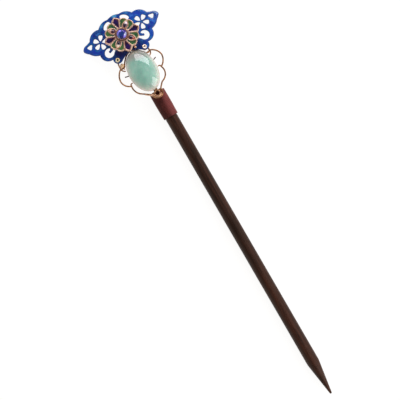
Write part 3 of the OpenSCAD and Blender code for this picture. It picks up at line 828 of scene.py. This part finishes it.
def makeBlueEnamel():
    p = plateLook
    made, tree, shader = newMaterial("blueEnamel", {
        "IOR": 1.55, "Specular IOR Level": 0.3, "Coat Roughness": 0.05})
    pools = patches(tree, 230, 3, 0.36, 0.64)
    light = patches(tree, 520, 4, 0.5, 0.7)
    teal = patches(tree, 330, 3, 0.52, 0.68, (1, 1.4, 1))
    violet = patches(tree, 290, 2, 0.53, 0.7, (1.3, 1, 1))
    marks = useGroup(tree, polish, Scale=500, Least=0.09, Most=0.2)
    edge = useGroup(tree, rim, Width=0.36, Unevenness=0.15)
    nearEdge = useGroup(tree, rim, Width=1.3, Unevenness=0.9)
    ground = blend(tree, pools["Mask"], p["deep"], p["mid"])
    for shade, amount, tone in ((light, 0.75, "light"), (teal, 0.6, "teal"), (violet, 0.45, "violet"),
                                (nearEdge, 0.4, "teal")):
        ground = tinted(tree, shade["Mask"], amount, ground, p[tone])
    wash = attribute(tree, "wash")    # painted highlight and painted shadow, light or dark
    ground = blend(tree, remap(tree, wash, 0.0, 0.9, 0, 0.85), ground, p["cyan"])
    ground = blend(tree, remap(tree, wash, -0.9, 0.0, 0.8, 0), ground, p["night"])
    connect(tree, shader, baseColor=blend(tree, edge["Mask"], ground, p["rimTone"]),
            roughness=compute(tree, "MULTIPLY_ADD", edge["Mask"], 0.4, marks["Roughness"]),
            coatWeight=compute(tree, "MULTIPLY_ADD", edge["Mask"], -0.5, 0.5),
            normal=bump(tree, pools["Height"], 0.25, 0.25))
    return made


def makePlate():
    p = plateLook
    gap, hub = p["gap"], p["blossomHub"]

    def stroke(start, rows, width, endWidth):
        return evened(penStroke(pathPoints(start, rows, gap), width, endWidth), gap)

    outline = evened(bothSides(pathPoints(p["top"], p["outline"], gap)), gap)
    petal = bothHalves(pathPoints(p["blossomStart"], p["blossomPetal"], gap))
    holes = [evened(swung(petal, turn, *hub), gap) for turn in p["blossomTurns"]]
    holes += [evened(grown(anticlockwise(p["corner"]), p["cornerRound"]), gap), stroke(*p["crescent"])]
    scroll = [circlePoints(*p["scroll"], gap), stroke(*p["scrollTail"])]
    tongue = [stroke(*p["tongue"]), circlePoints(*p["tongueBall"], gap)]
    for loops in (holes, scroll, tongue):
        loops += [mirrored(loop) for loop in loops]
    holes += [circlePoints(x, y, p["eyeletHole"], gap) for x, y in wireLook["lugs"]]
    holes.append(circlePoints(*p["post"], gap))

    def isSolid(points):
        curl = anyOf(points, scroll) & ~anyOf(points, tongue)
        return within(points, outline) & ~anyOf(points, holes) & ~curl

    flat = region([outline] + holes + scroll + tongue, isSolid, p["spacing"], p["rings"])
    points, _, away = flat
    top = p["thickness"] - rounding(away, p["edge"]) - p["pillow"] * np.exp(-away / p["pillowReach"])
    wash = sum(amount * np.exp(-((points[:, 0] - x) ** 2 + (points[:, 1] - y) ** 2) / (2 * r * r))
               for x, y, r, amount in p["washes"])
    solid, faces = slab(flat, top, rounding(away, p["backEdge"]))
    solid[:, 2] = p["low"] - p["curve"] + np.sqrt((p["curve"] + solid[:, 2]) ** 2 - solid[:, 0] ** 2)
    piece("wingPlate", (solid, faces), onPlate, makeBlueEnamel(), ["plate"],
          {"rim": np.tile(away, 2), "wash": np.tile(wash, 2)}, sharp=75)
    print("plate pierced and enamelled,", len(faces), "faces")


makePlate()


# Eyelets

eyeletLook = {"outer": 1.0, "hole": 0.36, "tube": 0.6, "low": -0.95, "flange": 0.25, "seat": 0.95, "rim": 0.3,
              "sides": 40}


def makeEyelets():
    e = eyeletLook
    outer, hole, shaft, low, seat = (e[label] for label in ("outer", "hole", "tube", "low", "seat"))
    back, foot = shaft + e["flange"], low - e["flange"]
    middle, half = (outer + hole) / 2, (outer - hole) / 2
    profile = [(hole, foot + 0.05), (hole + 0.06, foot), (back - 0.08, foot), (back, low - e["flange"] / 2),
               (back - 0.08, low), (shaft, low), (shaft, seat), (outer - 0.03, seat)]
    profile += [(middle + half * cos(a), seat + 0.03 + (e["rim"] - 0.03) * sin(a) ** 0.8)
                for a in angles(pi, 14)[1:-1]]
    profile.append((hole, seat))
    # painted shade down the bore
    bore = [np.interp(hypot(r - hole, max(0, z - seat)), [0.05, 0.22], [1, 0]) for r, z in profile]
    for name, node, place, gold in zip(("leftEyelet", "rightEyelet"), ("eyelet_left", "eyelet_right"),
                                       wireLook["lugs"], (paleGold, warmGold)):
        piece(name, closedLathe(profile, e["sides"]), squareToPlate(*place), gold, [node],
              {"shade": np.repeat(bore, e["sides"])})


makeEyelets()
print("eyelets set")


# Flower

flowerLook = {
    "tip": 8.2, "petalSide": (7.6, 8.4), "notch": (6.85, 17), "leafBulge": (7.4, 31), "budNotch": 6.85,
    "petal": {"inner": (3.2, 5), "corner": (6.4, 12), "side": (7.08, 6.4), "tip": 7.7},
    "leaf": {"axis": 3.3, "inner": (3.3, 13), "notch": (6.35, 17.8), "bulge": (6.98, 31), "end": (6.5, 43.2)},
    "bud": ((2.98, 0), [(3.2, 0.6, 3.9, 0.98), (5.3, 0.72, 6.2, 0)]),
    "wall": 0.36, "base": 0.4, "wallHeight": 1.5, "budHeight": 1.7, "gap": 0.16, "eye": 2.4,
    "spacing": 0.2, "rings": (0.05, 0.12), "wallRound": 0.16, "budRound": 0.2, "collarLow": 1.3,
    "inset": 0.987, "baseLow": 0.02, "baseSpacing": 0.8, "baseRings": (0.2,), "sides": 64,
    "bezel": [    # its section, out from the ledge, over the lip and back
        (1.85, 0.42), (2.63, 0.42), (2.65, 1.6), (2.63, 2.14), (2.55, 2.26), (2.43, 2.3), (2.29, 2.27),
        (2.19, 2.2), (2.23, 2.1), (2.23, 1.7), (1.85, 1.7)],
    "cap": (6.6, -0.3, -0.01), "stand": (1.6, -0.4, -0.15), "post": (1.0, -1.45, -0.1),
    "rivet": (1.6, -1.85, -1.45),
    "petalLevel": 1.28, "leafLevel": 1.18, "budLevel": 1.42, "budDome": 0.5, "creep": 0.16, "creepReach": 0.12,
    "swell": 0.05, "bed": 0.43, "fillSpacing": 0.24, "fillRings": (0.05, 0.11, 0.2),
    "shade": 0.8, "shadeEnd": 3.1, "shadeReach": 0.4,    # painted shade round the bezel
    "drop": ((2.75, -7.25, 0.05), (0.55, 0.52, 0.5)),    # of solder, beside a petal
}


def flowerLoops():
    f = flowerLook
    gap = f["gap"]
    eighth = pathPoints((f["tip"], 0), [polar(*f["petalSide"]) + polar(*f["notch"]),
                                        polar(*f["leafBulge"]) + polar(f["budNotch"], 45)], gap)
    quarter = eighth + [(y, x) for x, y in reversed(eighth[1:-1])]
    outline = [p for q in range(4) for p in swung(quarter, 90 * q)]
    c = f["petal"]
    petal = evened(bothHalves([polar(c["inner"][0], 0), polar(*c["inner"])] + pathPoints(
        polar(*c["corner"]), [polar(*c["side"]) + (c["tip"], 0)], gap)), gap)
    c = f["leaf"]
    leaf = evened([polar(c["axis"], 45), polar(*c["inner"])] + pathPoints(
        polar(*c["notch"]), [polar(*c["bulge"]) + polar(*c["end"])], gap), gap)
    bud = swung(evened(anticlockwise(bothHalves(pathPoints(*f["bud"], gap))), gap), 45)
    return outline, petal, leaf, bud, grown(bud, f["wall"])


def makeSetting(outline, petal, leaf, bud, collar):
    f = flowerLook
    petals, buds, collars = ([swung(loop, 90 * q) for q in range(4)] for loop in (petal, bud, collar))
    leaves = [swung(loop, 90 * q) for q in range(4) for loop in (leaf, [(y, x) for x, y in leaf])]
    eye = circlePoints(0, 0, f["eye"], f["gap"])

    def isWall(points):
        green = anyOf(points, leaves) & ~anyOf(points, collars)
        return within(points, outline) & ~green & ~anyOf(points, petals + buds + [eye])

    walls = region([outline, eye] + petals + leaves + buds + collars, isWall, f["spacing"], f["rings"])
    parts = [slab(walls, f["wallHeight"] - rounding(walls[2], f["wallRound"]), 0)]
    rims = list(walls[2]) * 2
    under = [(f["inset"] * x, f["inset"] * y) for x, y in outline]
    base = region([under], lambda points: within(points, under), f["baseSpacing"], f["baseRings"])
    parts.append(slab(base, f["base"], f["baseLow"]))
    for inner, outer in zip(buds, collars):
        raised = region([inner, outer], lambda points: within(points, outer) & ~within(points, inner),
                        f["spacing"], f["rings"])
        parts.append(slab(raised, f["budHeight"] - rounding(raised[2], f["budRound"]), f["collarLow"]))
    parts.append(closedLathe(f["bezel"], f["sides"]))
    parts += [lathe(easedDisc(*f[label]), f["sides"]) for label in ("cap", "stand", "post")]
    r, low, high = f["rivet"]
    dome = [(r * sin(a), high - (high - low) * cos(a)) for a in angles(pi / 2, 6)[1:]]
    parts += [lathe([(0, low)] + dome + [(0, high)], 32), bead(*f["drop"])]
    part = joined(parts)
    rims += [0.5] * (len(part[0]) - len(rims))
    shade = [f["shade"] * np.clip((f["shadeEnd"] - hypot(x, y)) / f["shadeReach"], 0, 1) for x, y, _ in part[0]]
    piece("flowerSetting", part, onFlower, pinkGold, ["flower_mount"],
          {"rim": rims, "shade": shade}, sharp=50)
    print("flower setting raised,", len(part[1]), "faces")


enamelLook = {    # ground, its darker pools, the tint near the walls, and how far that tint reaches
    "petal": ((38, 14, 84), (18, 8, 44), (104, 18, 42), 0.5),
    "leaf": ((72, 112, 58), (28, 80, 60), (116, 116, 44), 0.4),
    "bud": ((70, 20, 56), (24, 10, 42), (176, 84, 54), 0.26),
}
leafRoot = (24, 66, 92)    # the leaves' inner ends, then each bud's outer end, a painted highlight
budEndGlints = [(255, 238, 244), (236, 186, 154), (255, 240, 214), (178, 92, 74)]


def makeEnamel(name, colours, end=None, root=None):
    ground, pool, tint, width = colours
    made, tree, shader = newMaterial(name, {"IOR": 1.55, "Coat Weight": 0.6, "Coat Roughness": 0.04})
    pools = patches(tree, 620, 3, 0.38, 0.64)
    marks = useGroup(tree, polish, Scale=900, Least=0.06, Most=0.16)
    edge = useGroup(tree, rim, Width=width, Unevenness=0.4)
    ground = tinted(tree, edge["Mask"], 0.7, blend(tree, pools["Mask"], ground, pool), tint)
    if end:
        # painted highlight towards the bud's outer end
        ground = blend(tree, remap(tree, attribute(tree, "along"), 0.48, 0.7, 0, 0.95), ground, end)
    if root:
        ground = blend(tree, remap(tree, attribute(tree, "along"), 0.0, 0.5, 0.75, 0), ground, root)
    connect(tree, shader, baseColor=ground, roughness=marks["Roughness"],
            normal=bump(tree, pools["Height"], 0.2, 0.12))
    return made


def makeFills(petal, leaf, bud, collar):
    f = flowerLook
    fills = [    # name, slot, loops, what is inside them, and each cell's material
        ("petal", "purple_enamel", [petal], lambda points: within(points, petal),
         [makeEnamel("petalEnamel", enamelLook["petal"])] * 4),
        ("leaf", "green_enamel", [leaf, collar], lambda points: within(points, leaf) & ~within(points, collar),
         [makeEnamel("leafEnamel", enamelLook["leaf"], root=leafRoot)] * 8),
        ("bud", "plum_enamel", [bud], lambda points: within(points, bud),
         [makeEnamel(f"budEnamel{i + 1}", enamelLook["bud"], end) for i, end in enumerate(budEndGlints)]),
    ]
    for label, slot, loops, isSolid, materials in fills:
        flat = region(loops, isSolid, f["fillSpacing"], f["fillRings"])
        points, _, away = flat
        if label == "bud":
            top = f["budLevel"] + f["budDome"] * (1 - (1 - away / away.max()) ** 2.2)
        else:
            top = f[label + "Level"] + f["creep"] * np.exp(-away / f["creepReach"])    # up the walls
            top += f["swell"] * np.clip(away, 0, 1)
        solid, faces = slab(flat, top, f["bed"])
        reach = points @ np.array([1, 1]) / sqrt(2)
        values = {"rim": np.tile(away, 2), "along": np.tile((reach - reach.min()) / np.ptp(reach), 2)}
        for i, material in enumerate(materials):
            flipped = label == "leaf" and i % 2    # the leaves come in mirrored pairs
            piece(f"{label}Enamel{i + 1}", (solid[:, [1, 0, 2]] if flipped else solid, faces),
                  onFlower @ turned(90 * (i // 2 if label == "leaf" else i), "Z"), material,
                  [f"{label}_enamel_{i + 1}"], values, sharp=60)


flower = flowerLoops()
makeSetting(*flower)
makeFills(*flower[1:])
print("petals, leaves and buds enamelled")


# Centre stone

gemLook = {
    "girdle": 2.2, "girdleLow": 2.0, "girdleHigh": 2.12, "star": (1.8, 2.57), "table": (1.28, 2.85),
    "culet": 0.55, "tones": [(36, 74, 156), (72, 50, 156), (126, 118, 222), (40, 108, 156),
                             (22, 28, 100), (170, 176, 214)],    # the table's own blue, then the sectors' painted reflections, the last a painted glint
    "sectors": (1, 4, 2, 2, 3, 4, 1, 5), "glow": (88, 60, 190),    # each eighth's painted reflection, from +X round
}


def makeGem():
    g = gemLook
    made, tree, shader = newMaterial("violetStone", {
        "IOR": 1.6, "Roughness": 0.03, "Coat Weight": 0.5, "Coat Roughness": 0.02, "Metallic": 0.45})
    ramp = addNode(tree, "ValToRGB", {"Fac": attribute(tree, "tone")})
    ramp.color_ramp.interpolation = "CONSTANT"
    while len(ramp.color_ramp.elements) < len(g["tones"]):
        ramp.color_ramp.elements.new(0.5)
    for i, (element, colour) in enumerate(zip(ramp.color_ramp.elements, g["tones"])):
        element.position, element.color = i / len(g["tones"]), srgb(*colour)
    glow = patches(tree, 900, 2, 0.4, 0.66)
    connect(tree, shader, baseColor=tinted(tree, glow["Mask"], 0.35, ramp.outputs[0], g["glow"]))

    def ringOf(r, z, degrees=0, count=8):
        return [polar(r, degrees + 360 / count * k) + (z,) for k in range(count)]

    points = ringOf(*g["table"], 22.5) + ringOf(*g["star"]) + ringOf(g["girdle"], g["girdleHigh"], 0, 16)
    points += ringOf(g["girdle"], g["girdleLow"], 0, 16) + [(0, 0, g["culet"])]
    table, star, high, low, culet = 0, 8, 16, 32, 48
    faces = [[table + k for k in range(8)]]
    for k in range(8):
        faces += [[table + (k - 1) % 8, star + k, table + k],
                  [table + k, star + k, high + 2 * k + 1, star + (k + 1) % 8],
                  [star + k, high + 2 * k, high + 2 * k + 1],
                  [star + k, high + (2 * k - 1) % 16, high + 2 * k]]
    for k in range(16):
        after = (k + 1) % 16
        faces += [[high + k, low + k, low + after, high + after], [low + k, culet, low + after]]
    gem = piece("cutStone", (points, faces), onFlower, made, ["centre_stone"], sharp=5)
    # each face takes its sector's painted reflection, and the table its own blue
    tones = []
    for i, corners in enumerate(faces):
        x, y = (sum(points[k][axis] for k in corners) / len(corners) for axis in (0, 1))
        sector = int(((atan2(y, x) / tau) % 1) * 8 + 0.5 * (i % 2)) % 8
        tones.append(((g["sectors"][sector] if i else 0) + 0.5) / len(g["tones"]))
    gem.data.attributes.new("tone", "FLOAT", "FACE").data.foreach_set("value", tones)


makeGem()
print("centre stone cut")


# Floor, lights and camera

studioLook = {
    "floor": 4000, "floorLevel": -0.02, "floorTone": (0.11, 0.11, 0.108, 1), "glowTone": (1, 0.996, 0.988, 1),
    "glow": 0.93,
    "leftWall": (0.9, 0.87, 0.83, 1), "rightWall": (0.45, 0.445, 0.44, 1), "ceiling": (0.12, 0.12, 0.125, 1),
    "lights": [    # direction, distance, width and height, power and colour
        ("topBox", (0.433, 0.75, 0.5), 700, (760, 400), 3.9, (1, 0.92, 0.98)),
        ("sideBox", (0.52, -0.62, 0.588), 700, (560, 640), 3.1, (1, 0.965, 0.975)),
        ("lowBox", (0.908, -0.33, 0.259), 700, (300, 260), 0.25, (1, 0.95, 0.92)),
    ],
    "litPoint": (0, 60, 0), "view": (-6.685, 6.32, 959.6), "roll": -30.04, "lens": 200,
}


def makeStudio():
    s = studioLook
    half = s["floor"] / 2
    corners = [(x * half, y * half, s["floorLevel"]) for x, y in ((-1, -1), (1, -1), (1, 1), (-1, 1))]
    mesh = bpy.data.meshes.new("studioFloor")
    mesh.from_pydata((np.array(corners) * mm).tolist(), [], [(0, 1, 2, 3)])
    mesh.materials.append(newMaterial("paleFloor", {
        "Base Color": s["floorTone"], "Roughness": 0.9, "Emission Color": s["glowTone"],
        "Emission Strength": s["glow"]})[0])
    added("studioFloor", mesh)
    world = bpy.data.worlds.new("lightTent")    # bright walls all round, dim above
    bpy.context.scene.world = world
    world.use_nodes = True
    tree = world.node_tree
    tree.nodes.clear()
    split = addNode(tree, "SeparateXYZ", {0: addNode(tree, "TexCoord").outputs["Generated"]}).outputs
    walls = blend(tree, remap(tree, split["X"], -0.8, 0.5, 0, 1), s["leftWall"], s["rightWall"])
    sky = blend(tree, remap(tree, split["Z"], 0.4, 0.8, 0, 1), walls, s["ceiling"])
    addNode(tree, "OutputWorld", {"Surface": addNode(tree, "Background", {"Color": sky}).outputs[0]})
    for name, direction, distance, size, power, colour in s["lights"]:
        data = bpy.data.lights.new(name, "AREA")
        data.shape, data.energy, data.color = "RECTANGLE", power, colour
        data.size, data.size_y = size[0] * mm, size[1] * mm
        box = added(name, data)
        box.location = (Vector(s["litPoint"]) + Vector(direction).normalized() * distance) * mm
        box.rotation_euler = Vector(direction).to_track_quat("Z", "Y").to_euler()
    data = bpy.data.cameras.new("camera")
    data.lens, data.sensor_width, data.clip_start, data.clip_end = s["lens"], 36, 0.01, 10
    camera = added("camera", data)
    camera.location = [v * mm for v in s["view"]]
    camera.rotation_euler = (0, 0, radians(s["roll"]))
    bpy.context.scene.camera = camera
    bpy.context.scene.view_settings.view_transform = "Standard"


makeStudio()
print("studio lit")
